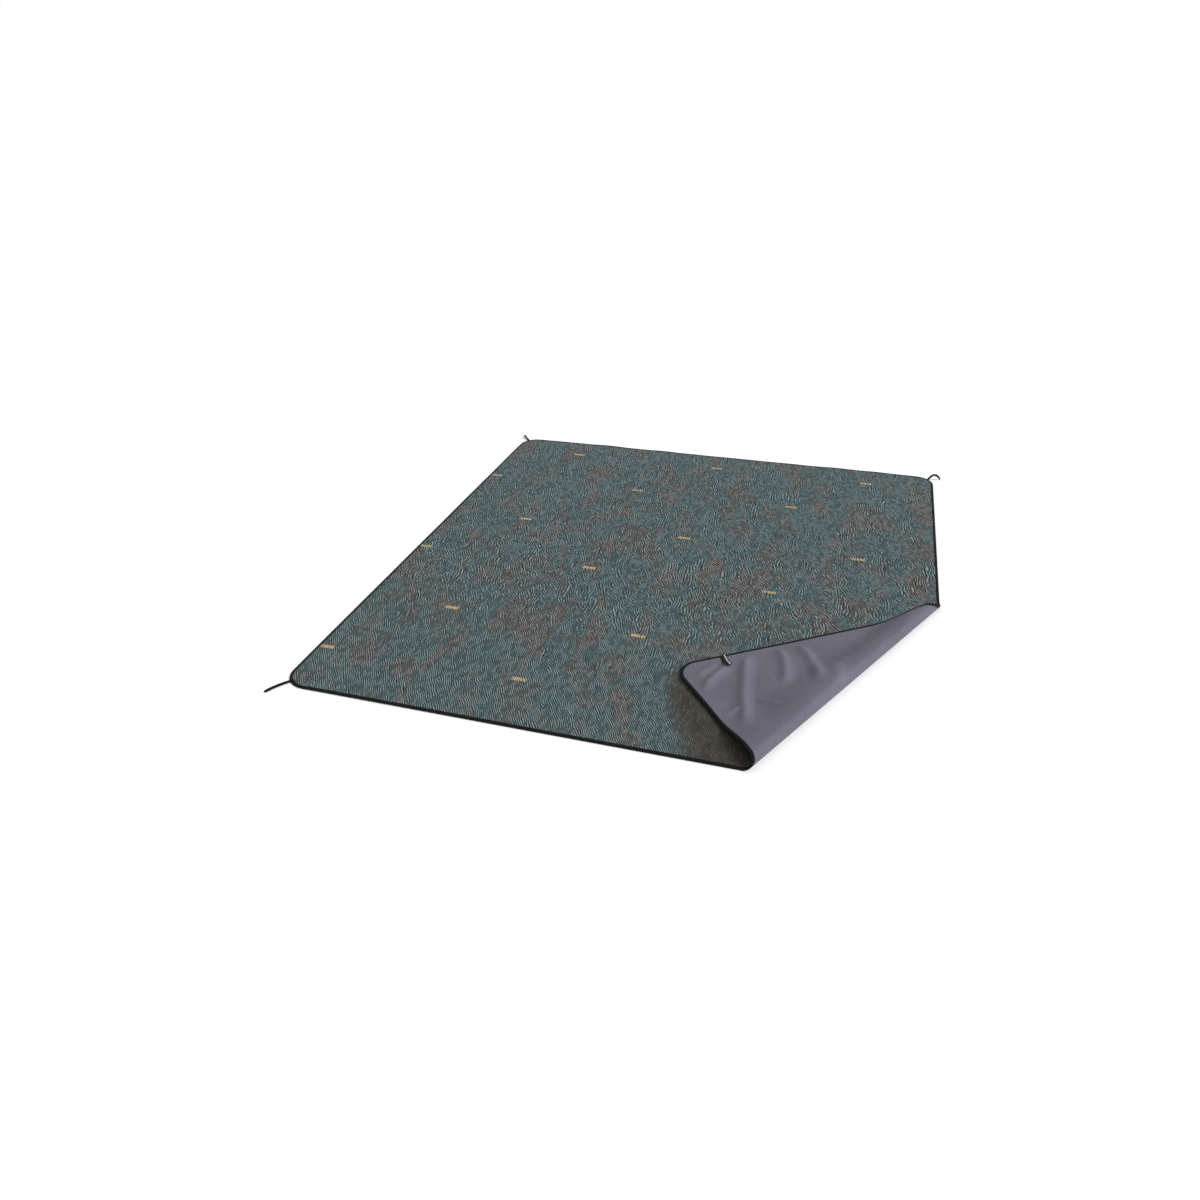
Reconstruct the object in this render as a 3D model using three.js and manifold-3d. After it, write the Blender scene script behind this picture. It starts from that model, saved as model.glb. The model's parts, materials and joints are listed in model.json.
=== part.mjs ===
// Camp blanket: fleece, foam padding and a coated backing, bound round the edge with tape. The front right
// corner is folded over onto the fleece. Elastic peg loops sit at the four corners, and a tape loop on the
// right-hand edge, near the folded corner.
//
// Millimetres. The origin is the centre of the opened blanket on the ground. +X runs to the right across the
// width, +Y to the back along the length, +Z up. Every piece is drawn as it lies in the opened blanket. Three
// hinge groups then fold the corner: a narrow strip stands up, a panel slopes down from its top, and the tip
// panel lies level on the fleece.

import * as THREE from 'three';
import { mergeVertices } from 'three/addons/utils/BufferGeometryUtils.js';
import Module from 'manifold-3d';

const wasm = await Module();
wasm.setup();

// The opened blanket.
const WIDTH = 2000;
const LENGTH = 2200;
const CORNER_RADIUS = 80;
const CORNER_SEGMENTS = 8;

// Thicknesses, from the ground up.
const TAPE_THICKNESS = 0.5;
const BACKING_THICKNESS = 0.5;
const PADDING_THICKNESS = 2;
const FLEECE_THICKNESS = 2;
const CLEARANCE = 0.3;

// The binding shows this much on each face of the blanket.
const TAPE_LIP = 10;

// The folded corner: where the fold starts on the two edges, measured from the corner, how high it stands
// there, how steeply the panel beyond it slopes down, and how far above the fleece the tip panel lies.
const FOLD_ON_FRONT_EDGE = 533;
const FOLD_ON_SIDE_EDGE = 1041;
const FOLD_HEIGHT_FRONT = 39;
const FOLD_HEIGHT_SIDE = 35;
const STRIP_TURN_DEG = 90;
const SLOPE_DEG = 12;
const TIP_HEIGHT = 4.2;

// Peg loops of round elastic cord.
const CORD_RADIUS = 1.5;
const CORD_SIDES = 8;
const CORD_STEPS = 44;
const LOOP_LENGTH = 80;
const LOOP_ROOT_SPREAD = 2.2;
const LOOP_WIDEST_SPREAD = 4.6;
const LOOP_STAND_OFF = 2.5;

// Loop of flat tape on the right-hand edge.
const SIDE_LOOP_FROM_CORNER = 158;
const SIDE_LOOP_LENGTH = 78;
const SIDE_LOOP_WIDTH = 18;
const SIDE_LOOP_TAPE = 4.5;
const SIDE_LOOP_THICKNESS = 1.6;
const SIDE_LOOP_OVERLAP = 6;
const SIDE_LOOP_SEGMENTS = 10;

// Heights that follow from the thicknesses.
const LOWER_LIP_TOP = TAPE_THICKNESS;
const BACKING_RIM_BOTTOM = LOWER_LIP_TOP + CLEARANCE;
const BACKING_TOP = BACKING_RIM_BOTTOM + BACKING_THICKNESS;
const PADDING_BOTTOM = BACKING_TOP + CLEARANCE;
const PADDING_TOP = PADDING_BOTTOM + PADDING_THICKNESS;
const FLEECE_BOTTOM = PADDING_TOP + CLEARANCE;
const FLEECE_RIM_TOP = FLEECE_BOTTOM + FLEECE_THICKNESS;
const UPPER_LIP_BOTTOM = FLEECE_RIM_TOP + CLEARANCE;
const SHEET_TOP = UPPER_LIP_BOTTOM + TAPE_THICKNESS;
const HINGE_HEIGHT = SHEET_TOP + CLEARANCE;
const EDGE_MIDDLE = SHEET_TOP / 2;

// How far each outline lies inside the outer face of the binding.
const TAPE_CAVITY_INSET = TAPE_THICKNESS;
const LAYER_INSET = TAPE_THICKNESS + CLEARANCE;
const FIELD_INSET = TAPE_LIP + CLEARANCE;

// Prisms that cut other shapes reach this far past them.
const OVERSHOOT = 5;
const FAR_AWAY = 4000;

const FLEECE = new THREE.MeshStandardMaterial({ color: 0x586162, roughness: 1, metalness: 0 });
const PADDING = new THREE.MeshStandardMaterial({ color: 0xd8d6cf, roughness: 1, metalness: 0 });
const BACKING = new THREE.MeshStandardMaterial({ color: 0x6d6b78, roughness: 0.55, metalness: 0 });
const BINDING = new THREE.MeshStandardMaterial({ color: 0x121214, roughness: 0.85, metalness: 0 });
const CORD = new THREE.MeshStandardMaterial({ color: 0x0e0e10, roughness: 0.9, metalness: 0 });
const SIDE_TAPE = new THREE.MeshStandardMaterial({ color: 0x1a1a1d, roughness: 0.7, metalness: 0 });

// ---- Solid helpers ----

function toManifold(geometry) {
  const plain = new THREE.BufferGeometry();
  plain.setAttribute('position', geometry.getAttribute('position'));
  if (geometry.index) plain.setIndex(geometry.index);
  const merged = mergeVertices(plain, 1e-4);
  return new wasm.Manifold(new wasm.Mesh({
    numProp: 3,
    vertProperties: new Float32Array(merged.getAttribute('position').array),
    triVerts: new Uint32Array(merged.index.array),
  }));
}

function fromManifold(solid) {
  const mesh = solid.getMesh();
  const geometry = new THREE.BufferGeometry();
  geometry.setAttribute('position', new THREE.BufferAttribute(mesh.vertProperties, 3));
  geometry.setIndex(new THREE.BufferAttribute(mesh.triVerts, 1));
  geometry.computeVertexNormals();
  return geometry;
}

function prism(points, bottom, top) {
  const shape = new THREE.Shape(points);
  const geometry = new THREE.ExtrudeGeometry(shape, { depth: top - bottom, bevelEnabled: false });
  geometry.translate(0, 0, bottom);
  return toManifold(geometry);
}

function namedMesh(name, geometry, material) {
  const mesh = new THREE.Mesh(geometry, material);
  mesh.name = name;
  return mesh;
}

// ---- Plan outlines ----

// The blanket's outline, moved inwards by `inset`, anticlockwise from the front right corner.
function blanketOutline(inset) {
  const radius = CORNER_RADIUS - inset;
  const halfWidth = WIDTH / 2 - CORNER_RADIUS;
  const halfLength = LENGTH / 2 - CORNER_RADIUS;
  const corners = [[1, -1], [1, 1], [-1, 1], [-1, -1]];
  const points = [];
  corners.forEach(([sideX, sideY], index) => {
    const startAngle = -Math.PI / 2 + index * Math.PI / 2;
    for (let step = 0; step <= CORNER_SEGMENTS; step += 1) {
      const angle = startAngle + (step / CORNER_SEGMENTS) * Math.PI / 2;
      points.push(new THREE.Vector2(
        sideX * halfWidth + radius * Math.cos(angle),
        sideY * halfLength + radius * Math.sin(angle),
      ));
    }
  });
  return points;
}

// The first fold line runs between two points on the edges. The second lies beyond it, towards the corner.
const FOLD_FRONT = new THREE.Vector2(WIDTH / 2 - FOLD_ON_FRONT_EDGE, -LENGTH / 2);
const FOLD_SIDE = new THREE.Vector2(WIDTH / 2, -LENGTH / 2 + FOLD_ON_SIDE_EDGE);
const FOLD_LENGTH = FOLD_FRONT.distanceTo(FOLD_SIDE);
const ALONG_FOLD = FOLD_SIDE.clone().sub(FOLD_FRONT).normalize();
const TO_CORNER = new THREE.Vector2(ALONG_FOLD.y, -ALONG_FOLD.x);

// A point `along` the fold from the front edge and `across` it towards the corner.
function foldPoint(along, across) {
  return FOLD_FRONT.clone().addScaledVector(ALONG_FOLD, along).addScaledVector(TO_CORNER, across);
}

// How far the second fold line lies beyond the first.
function stripWidth(along) {
  return FOLD_HEIGHT_FRONT + (FOLD_HEIGHT_SIDE - FOLD_HEIGHT_FRONT) * along / FOLD_LENGTH;
}

// How far the third fold line lies beyond the first: where the sloping panel comes down to the tip's height.
function tipLine(along) {
  const slopeHeight = stripWidth(along) - TIP_HEIGHT;
  return stripWidth(along) + slopeHeight / Math.sin(THREE.MathUtils.degToRad(SLOPE_DEG));
}

// The four regions the fold lines part the sheet into, each short of its fold line by the clearance.
const FOLD_START = -300;
const FOLD_END = FOLD_LENGTH + 300;
const FOLD_MIDDLE = FOLD_LENGTH / 2;

function mainRegion() {
  return [
    foldPoint(-FAR_AWAY, -CLEARANCE),
    foldPoint(FAR_AWAY, -CLEARANCE),
    foldPoint(FAR_AWAY, -FAR_AWAY),
    foldPoint(-FAR_AWAY, -FAR_AWAY),
  ];
}

// The band between two fold lines, from `start` to `end` along the fold.
function bandRegion(nearLine, farLine, start, end) {
  return [
    foldPoint(start, nearLine(start) + CLEARANCE),
    foldPoint(start, farLine(start) - CLEARANCE),
    foldPoint(end, farLine(end) - CLEARANCE),
    foldPoint(end, nearLine(end) + CLEARANCE),
  ];
}

function stripRegion(start, end) {
  return bandRegion(() => 0, stripWidth, start, end);
}

function slopeRegion(start, end) {
  return bandRegion(stripWidth, tipLine, start, end);
}

function tipRegion() {
  return bandRegion(tipLine, () => FAR_AWAY, FOLD_START, FOLD_END);
}

function cutToRegion(solid, region) {
  return fromManifold(solid.intersect(prism(region, -OVERSHOOT, HINGE_HEIGHT + OVERSHOOT)));
}

// ---- Cloth layers and binding ----

function fleeceLayer() {
  const rim = prism(blanketOutline(LAYER_INSET), FLEECE_BOTTOM, FLEECE_RIM_TOP);
  const pile = prism(blanketOutline(FIELD_INSET), FLEECE_BOTTOM, SHEET_TOP);
  return rim.add(pile);
}

function paddingLayer() {
  return prism(blanketOutline(LAYER_INSET), PADDING_BOTTOM, PADDING_TOP);
}

function backingLayer() {
  const rim = prism(blanketOutline(LAYER_INSET), BACKING_RIM_BOTTOM, BACKING_TOP);
  const field = prism(blanketOutline(FIELD_INSET), 0, BACKING_TOP);
  return rim.add(field);
}

// Tape folded round the edge: a channel whose two lips lie on the fleece and on the backing.
function bindingTape() {
  const outside = prism(blanketOutline(0), 0, SHEET_TOP);
  const cavity = prism(blanketOutline(TAPE_CAVITY_INSET), LOWER_LIP_TOP, UPPER_LIP_BOTTOM);
  const opening = prism(blanketOutline(TAPE_LIP), -OVERSHOOT, SHEET_TOP + OVERSHOOT);
  return outside.subtract(cavity).subtract(opening);
}

// ---- Loops ----

// A round cord swept along a path, closed at both ends.
function cordAlong(points) {
  const path = new THREE.CatmullRomCurve3(points);
  const section = new THREE.Shape(
    Array.from({ length: CORD_SIDES }, (_, index) => {
      const angle = (index / CORD_SIDES) * 2 * Math.PI;
      return new THREE.Vector2(CORD_RADIUS * Math.cos(angle), CORD_RADIUS * Math.sin(angle));
    }),
  );
  const geometry = new THREE.ExtrudeGeometry(section, { steps: CORD_STEPS, extrudePath: path });
  return fromManifold(toManifold(geometry));
}

// Half the distance between the two strands, `out` from the loop's root: a long drop shape.
function loopSpread(out) {
  const share = out / LOOP_LENGTH;
  const opening = LOOP_ROOT_SPREAD + (LOOP_WIDEST_SPREAD - LOOP_ROOT_SPREAD) * Math.min(1, share / 0.8);
  const closing = Math.sqrt(Math.max(0, 1 - Math.max(0, (share - 0.9) / 0.1) ** 2));
  return opening * closing;
}

// Strand points from the root out to the end and back, at the height `heightAt(out)` gives.
function loopPath(heightAt) {
  const stations = [0, 8, 20, 36, 52, 64, 72, 76.5, 79.2];
  const outward = stations.map((out) => new THREE.Vector3(out, loopSpread(out), heightAt(out)));
  const end = new THREE.Vector3(LOOP_LENGTH, 0, heightAt(LOOP_LENGTH));
  const inward = stations.map((out) => new THREE.Vector3(out, -loopSpread(out), heightAt(out))).reverse();
  return [...outward, end, ...inward];
}

// A loop that runs out from the edge and drops to the ground.
function lyingLoopGeometry() {
  const groundHeight = CORD_RADIUS + CLEARANCE / 2;
  const drop = EDGE_MIDDLE - groundHeight;
  return cordAlong(loopPath((out) => EDGE_MIDDLE - drop * Math.min(1, out / 20)));
}

// A loop that leaves the edge, turns back over the binding and lies on the fleece.
function tuckedLoopGeometry() {
  const lyingHeight = HINGE_HEIGHT + CORD_RADIUS + CLEARANCE / 2;
  const turnRadius = (lyingHeight - EDGE_MIDDLE) / 2;
  const strand = (side) => {
    const points = [new THREE.Vector3(0, side * LOOP_ROOT_SPREAD, EDGE_MIDDLE)];
    for (let step = 0; step <= 4; step += 1) {
      const angle = -Math.PI / 2 + (step / 4) * Math.PI;
      points.push(new THREE.Vector3(
        1 + turnRadius * Math.cos(angle),
        side * LOOP_ROOT_SPREAD,
        EDGE_MIDDLE + turnRadius + turnRadius * Math.sin(angle),
      ));
    }
    [12, 28, 44, 58, 66, 70.5, 73.2].forEach((back) => {
      points.push(new THREE.Vector3(-back, side * loopSpread(back + 6), lyingHeight));
    });
    return points;
  };
  const end = new THREE.Vector3(6 - LOOP_LENGTH, 0, lyingHeight);
  return cordAlong([...strand(1), end, ...strand(-1).reverse()]);
}

// Puts a loop at the middle of a rounded corner, clear of the binding, and turns it to its heading.
function placeLoop(mesh, sideX, sideY, headingDeg) {
  const reach = (CORNER_RADIUS + LOOP_STAND_OFF) * Math.SQRT1_2;
  mesh.position.set(
    sideX * (WIDTH / 2 - CORNER_RADIUS + reach),
    sideY * (LENGTH / 2 - CORNER_RADIUS + reach),
    0,
  );
  mesh.rotation.z = THREE.MathUtils.degToRad(headingDeg);
  return mesh;
}

// Flat tape bent into a long U, lying on the backing with its two ends over the binding.
function sideLoopGeometry() {
  const halfWidth = SIDE_LOOP_WIDTH / 2;
  const straight = SIDE_LOOP_LENGTH - halfWidth;
  const arc = (radius, turn) => Array.from({ length: SIDE_LOOP_SEGMENTS + 1 }, (_, index) => {
    const angle = turn * (-Math.PI / 2 + (index / SIDE_LOOP_SEGMENTS) * Math.PI);
    return new THREE.Vector2(straight + radius * Math.cos(angle), radius * Math.sin(angle));
  });
  const innerRadius = halfWidth - SIDE_LOOP_TAPE;
  const outline = [
    new THREE.Vector2(0, -halfWidth),
    ...arc(halfWidth, 1),
    new THREE.Vector2(0, halfWidth),
    new THREE.Vector2(0, innerRadius),
    ...arc(innerRadius, -1),
    new THREE.Vector2(0, -innerRadius),
  ];
  return fromManifold(prism(outline, -CLEARANCE - SIDE_LOOP_THICKNESS, -CLEARANCE));
}

// ---- Assembly ----

// A group whose contents turn about a line through `point` at `height`, lifting the corner side.
function hingeGroup(name, point, direction, height, angleDeg) {
  const turning = new THREE.Group();
  turning.name = name;
  const axis = new THREE.Vector3(-direction.x, -direction.y, 0);
  const pivot = new THREE.Vector3(point.x, point.y, height);
  turning.quaternion.setFromAxisAngle(axis, THREE.MathUtils.degToRad(angleDeg));
  turning.position.copy(pivot).sub(pivot.clone().applyQuaternion(turning.quaternion));
  return turning;
}

const blanket = new THREE.Group();
blanket.name = 'camp_blanket';

const foldStrip = hingeGroup('fold_strip', FOLD_FRONT, ALONG_FOLD, HINGE_HEIGHT, STRIP_TURN_DEG);
blanket.add(foldStrip);

// A hinge group on the fold line that `line` gives, as a distance across from the first fold line.
function hingeOnLine(name, line, height, angleDeg) {
  const front = foldPoint(0, line(0));
  const direction = foldPoint(FOLD_LENGTH, line(FOLD_LENGTH)).sub(front).normalize();
  return hingeGroup(name, front, direction, height, angleDeg);
}

const cornerPanel = hingeOnLine('corner_panel', stripWidth, HINGE_HEIGHT, 180 - STRIP_TURN_DEG + SLOPE_DEG);
foldStrip.add(cornerPanel);

// This one bends the other way, so it turns about the backing's side.
const tipPanel = hingeOnLine('tip_panel', tipLine, -CLEARANCE, -SLOPE_DEG);
cornerPanel.add(tipPanel);

function addLayer(name, solid, material) {
  blanket.add(namedMesh(name, cutToRegion(solid, mainRegion()), material));
  foldStrip.add(namedMesh(`${name}_fold`, cutToRegion(solid, stripRegion(FOLD_START, FOLD_END)), material));
  const slope = slopeRegion(FOLD_START, FOLD_END);
  cornerPanel.add(namedMesh(`${name}_corner`, cutToRegion(solid, slope), material));
  tipPanel.add(namedMesh(`${name}_tip`, cutToRegion(solid, tipRegion()), material));
}

addLayer('top_fleece', fleeceLayer(), FLEECE);
addLayer('padding', paddingLayer(), PADDING);
addLayer('backing', backingLayer(), BACKING);

const tape = bindingTape();
blanket.add(namedMesh('edge_binding', cutToRegion(tape, mainRegion()), BINDING));

// The strip and the sloping panel each meet the edge twice, so each holds two lengths of binding.
function addBindingPair(group, name, region) {
  const front = cutToRegion(tape, region(FOLD_START, FOLD_MIDDLE));
  const side = cutToRegion(tape, region(FOLD_MIDDLE, FOLD_END));
  group.add(namedMesh(`${name}_front`, front, BINDING));
  group.add(namedMesh(`${name}_side`, side, BINDING));
}

addBindingPair(foldStrip, 'edge_binding_fold', stripRegion);
addBindingPair(cornerPanel, 'edge_binding_corner', slopeRegion);
tipPanel.add(namedMesh('edge_binding_tip', cutToRegion(tape, tipRegion()), BINDING));

const lyingLoop = lyingLoopGeometry();
blanket.add(placeLoop(namedMesh('peg_loop_front_left', lyingLoop, CORD), -1, -1, 232));
blanket.add(placeLoop(namedMesh('peg_loop_back_left', lyingLoop, CORD), -1, 1, 130));
blanket.add(placeLoop(namedMesh('peg_loop_back_right', lyingLoop, CORD), 1, 1, 30));
tipPanel.add(placeLoop(namedMesh('peg_loop_front_right', tuckedLoopGeometry(), CORD), 1, -1, -45));

const sideLoop = namedMesh('side_loop', sideLoopGeometry(), SIDE_TAPE);
sideLoop.position.set(WIDTH / 2 - SIDE_LOOP_OVERLAP, -LENGTH / 2 + SIDE_LOOP_FROM_CORNER, 0);
sideLoop.rotation.z = Math.PI;
tipPanel.add(sideLoop);

export default blanket;
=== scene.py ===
"""A camp blanket on a pale floor, its front right corner folded over onto the fleece.

The cloth is built flat, as it lies in the opened blanket, cut into parts where the hinges need it, and
carried to its folded place by fold_over(). Everything is in metres, in the frame's own axes.
"""
import json
import math
import bmesh
import bpy
import numpy as np
from mathutils import Matrix, Vector


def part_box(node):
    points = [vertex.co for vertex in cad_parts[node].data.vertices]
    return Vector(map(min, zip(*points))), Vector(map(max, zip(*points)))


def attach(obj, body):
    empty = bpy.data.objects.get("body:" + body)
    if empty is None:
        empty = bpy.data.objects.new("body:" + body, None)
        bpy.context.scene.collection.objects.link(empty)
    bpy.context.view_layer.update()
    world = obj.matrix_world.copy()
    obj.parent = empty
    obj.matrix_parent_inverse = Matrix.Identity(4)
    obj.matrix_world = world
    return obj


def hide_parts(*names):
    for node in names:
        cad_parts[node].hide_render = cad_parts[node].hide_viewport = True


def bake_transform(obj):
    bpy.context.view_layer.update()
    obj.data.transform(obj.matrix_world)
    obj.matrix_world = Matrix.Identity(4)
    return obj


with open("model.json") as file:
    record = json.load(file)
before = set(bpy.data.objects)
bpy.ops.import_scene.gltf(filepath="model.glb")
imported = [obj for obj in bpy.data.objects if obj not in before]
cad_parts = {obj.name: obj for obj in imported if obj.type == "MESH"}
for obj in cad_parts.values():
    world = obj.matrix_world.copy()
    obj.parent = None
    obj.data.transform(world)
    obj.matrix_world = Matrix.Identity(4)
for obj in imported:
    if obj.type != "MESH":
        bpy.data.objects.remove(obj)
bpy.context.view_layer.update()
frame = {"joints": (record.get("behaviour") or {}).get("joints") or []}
joints = {joint["name"]: joint for joint in frame["joints"]}

MM = 0.001

# ---- Sizes taken from the frame ----

HALF_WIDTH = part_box("edge_binding")[1].x
HALF_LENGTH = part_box("edge_binding")[1].y
SHEET_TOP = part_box("edge_binding")[1].z
CORNER_RADIUS = 80 * MM

HINGE_START = np.array(joints["corner_fold"]["pos_m"])
HINGE_HEIGHT = HINGE_START[2]
ALONG = np.array(joints["corner_fold"]["axis"][:2])
ACROSS = np.array((ALONG[1], -ALONG[0]))
FOLD_LENGTH = (HALF_WIDTH - HINGE_START[0]) / ALONG[0]
ROLL_HEIGHT_START = joints["corner_turn"]["pos_m"][2] - HINGE_HEIGHT
ROLL_HEIGHT_SLOPE = joints["corner_turn"]["axis"][2] / math.hypot(*joints["corner_turn"]["axis"][:2])
FULL_TURN = math.radians(joints["corner_turn"]["range_deg"][1])
PANEL_SLOPE = math.radians(-joints["tip_turn"]["range_deg"][0])
TIP_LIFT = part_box("top_fleece_tip")[0].z - HINGE_HEIGHT

# ---- Thicknesses of the layers, as heights in the flat sheet ----

TAPE = 0.5 * MM
TAPE_LIP = 10 * MM
SEAM_INSET = 8.6 * MM
LAYER_INSET = 2.2 * MM
BACKING_BOTTOM = 0.0
BACKING_RIM_BOTTOM = 0.6 * MM
BACKING_TOP = 1.5 * MM
PADDING_TOP = 3.9 * MM
FLEECE_RIM_TOP = 6.1 * MM
FLEECE_GROUND = 6.2 * MM
PILE_HEIGHT = 1.1 * MM

# ---- The folded corner ----

# How far the cloth travels while it drops off the roll, in roll heights, at each end of the fold.
FALL_FRONT = 4.53
FALL_SIDE = 1.8
# The roll bends at a constant radius of half its height, and this much of it lies before the hinge line.
ROLL_LEAD = math.pi / 2 - 1
# The main part ends this far round the roll, where the curved cloth crosses the hinge's upright strip.
SEAM_ANGLE = math.radians(36)
ROLL_STEP = math.radians(9)
# The flap lies a little lower than the CAD tip panel, so that it doesn't dip under the ground once opened.
FLAP_LIFT = TIP_LIFT - 0.8 * MM
# The corner of the flap is pulled a little further over, in plan, than a stiff sheet would reach.
TIP_PULL = np.array((-32 * MM, -4 * MM))
TIP_REACH = 440 * MM
# The tip's part starts this far before the third hinge and bends within half of that.
TIP_LEAD = 24 * MM
# Places round the roll: the main part's own bend, and where the rest starts to turn and leaves the roll.
MAIN_BEND_START = math.radians(22)
MAIN_BEND_END = math.radians(33)
TURN_START = math.radians(34.8)
ROLL_END = math.radians(130)


def noise(x, y, size, seed):
    """Smooth noise, about -0.7 to 0.7, whose features are about `size` across."""
    u, v = x / size, y / size
    cell_u, cell_v = np.floor(u).astype(np.int64), np.floor(v).astype(np.int64)
    part_u, part_v = u - cell_u, v - cell_v

    def slope(step_u, step_v):
        key = (cell_u + step_u) * 374761393 + (cell_v + step_v) * 668265263 + seed * 974634777
        key = ((key ^ (key >> 13)) * 1274126177) & 0xFFFFFFFF
        angle = ((key ^ (key >> 16)) & 0xFFFF) / 65536 * 2 * math.pi
        return np.cos(angle) * (part_u - step_u) + np.sin(angle) * (part_v - step_v)

    ease_u = part_u ** 3 * (part_u * (6 * part_u - 15) + 10)
    ease_v = part_v ** 3 * (part_v * (6 * part_v - 15) + 10)
    front = slope(0, 0) * (1 - ease_u) + slope(1, 0) * ease_u
    back = slope(0, 1) * (1 - ease_u) + slope(1, 1) * ease_u
    return front * (1 - ease_v) + back * ease_v


def smooth(value, low, high):
    """0 below low, 1 above high, eased between them."""
    share = np.clip((value - low) / (high - low), 0, 1)
    return share * share * (3 - 2 * share)


def edge_distance(x, y):
    """How far inside the blanket's outline a flat point lies."""
    out_x = np.abs(x) - (HALF_WIDTH - CORNER_RADIUS)
    out_y = np.abs(y) - (HALF_LENGTH - CORNER_RADIUS)
    beyond = np.hypot(np.maximum(out_x, 0), np.maximum(out_y, 0))
    return CORNER_RADIUS - beyond - np.minimum(np.maximum(out_x, out_y), 0)


def fold_coordinates(flat):
    """Distance along the fold line, and across it towards the corner."""
    offset = flat[:, :2] - HINGE_START[:2]
    return offset @ ALONG, offset @ ACROSS


def roll_height(along):
    return ROLL_HEIGHT_START + ROLL_HEIGHT_SLOPE * along


def roll_line(angle):
    """The straight line on the flat sheet that ends up `angle` round the roll."""
    return lambda along: roll_height(along) / 2 * (angle - ROLL_LEAD)


def third_line(along):
    """Where the third hinge lies on the flat sheet, as a distance across."""
    return roll_height(along) + (roll_height(along) - TIP_LIFT) / math.sin(PANEL_SLOPE)


def tip_line(along):
    return third_line(along) - TIP_LEAD


def roll_angle(flat):
    along, across = fold_coordinates(flat)
    return across / (roll_height(along) / 2) + ROLL_LEAD


def reach_and_lift(along, across):
    """For cloth past the roll: how far it comes back over the fleece, and how high it still stands."""
    height = roll_height(along)
    beyond = np.maximum(across - (math.pi - ROLL_LEAD) * height / 2, 0)
    fall = height * (FALL_FRONT + (FALL_SIDE - FALL_FRONT) * np.clip(along / FOLD_LENGTH, 0, 1))
    slack = (math.pi * height) ** 2 / (16 * fall)
    reach = np.where(beyond < fall + slack, beyond * fall / (fall + slack), beyond - slack)
    fallen = np.minimum(reach / fall, 1)
    return reach, FLAP_LIFT + (height - FLAP_LIFT) * (1 + np.cos(math.pi * fallen)) / 2


def fold_over(flat):
    """Carries points of the flat sheet to their folded place: round the roll, then down onto the fleece."""
    along, across = fold_coordinates(flat)
    depth = HINGE_HEIGHT - flat[:, 2]
    radius = roll_height(along) / 2
    start = -ROLL_LEAD * radius
    angle = np.clip((across - start) / radius, 0, math.pi)
    reach, lift = reach_and_lift(along, across)
    new_across = start + (radius + depth) * np.sin(angle) - reach
    new_height = HINGE_HEIGHT + radius - (radius + depth) * np.cos(angle)
    new_height = np.where(reach > 0, HINGE_HEIGHT + lift + depth, new_height)
    before = across < start
    new_across = np.where(before, across, new_across)
    new_height = np.where(before, flat[:, 2], new_height)
    plan = HINGE_START[:2] + along[:, None] * ALONG + new_across[:, None] * ACROSS
    plan += TIP_PULL * (reach / TIP_REACH)[:, None] ** 2
    return np.column_stack((plan, new_height))


def swell(x, y):
    """How far the whole sheet stands off the ground: a slow unevenness, and ripples at the back edge."""
    slow_height, ripple_height = 1.6 * MM, 6 * MM
    slow = slow_height * (0.7 + noise(x, y, 0.45, 3))
    ripple = ripple_height * np.clip(noise(x, y * 0.3, 0.16, 5) + 0.12, 0, 1) * smooth(y, 0.85, 1.1)
    corner = HALF_WIDTH - np.abs(x) + HALF_LENGTH - np.abs(y)
    from_fold = -((x - HINGE_START[0]) * ACROSS[0] + (y - HINGE_START[1]) * ACROSS[1])
    return np.maximum(slow + ripple, 0) * smooth(corner, 0.05, 0.3) * smooth(from_fold, 0.5, 0.8)


def turn_shares(part, flat):
    """How far each point has turned from the part's first body to its second, 0 to 1."""
    angle = roll_angle(flat)
    along, across = fold_coordinates(flat)
    if part == "main":
        return smooth(angle, MAIN_BEND_START, MAIN_BEND_END)
    if part == "tip":
        return smooth(across - third_line(along), -TIP_LEAD / 2, TIP_LEAD / 2)
    # Round the roll, this turn brings each point back down to the flat sheet.
    early = np.clip(angle, TURN_START, ROLL_END)
    on_roll = np.arctan2(np.sin(early) - ROLL_LEAD, 1 + np.cos(early))
    radius = roll_height(along) / 2
    reach, lift = reach_and_lift(along, across)
    on_panel = math.pi / 2 + np.arctan2(2 * radius - lift, reach + ROLL_LEAD * radius)
    last = smooth(angle, ROLL_END, math.pi)
    turn = on_roll * (1 - last) + on_panel * last
    near_tip = smooth(across - tip_line(along), -40 * MM, 0)
    turn = turn * (1 - near_tip) + FULL_TURN * near_tip
    return np.clip(turn / FULL_TURN, 0, 1)


# ---- Shader nodes ----

def linear(red, green, blue):
    """An sRGB colour, 0 to 255, as the linear colour that shaders take."""
    parts = [channel / 255 for channel in (red, green, blue)]
    return tuple(p / 12.92 if p <= 0.04045 else ((p + 0.055) / 1.055) ** 2.4 for p in parts) + (1.0,)


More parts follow.
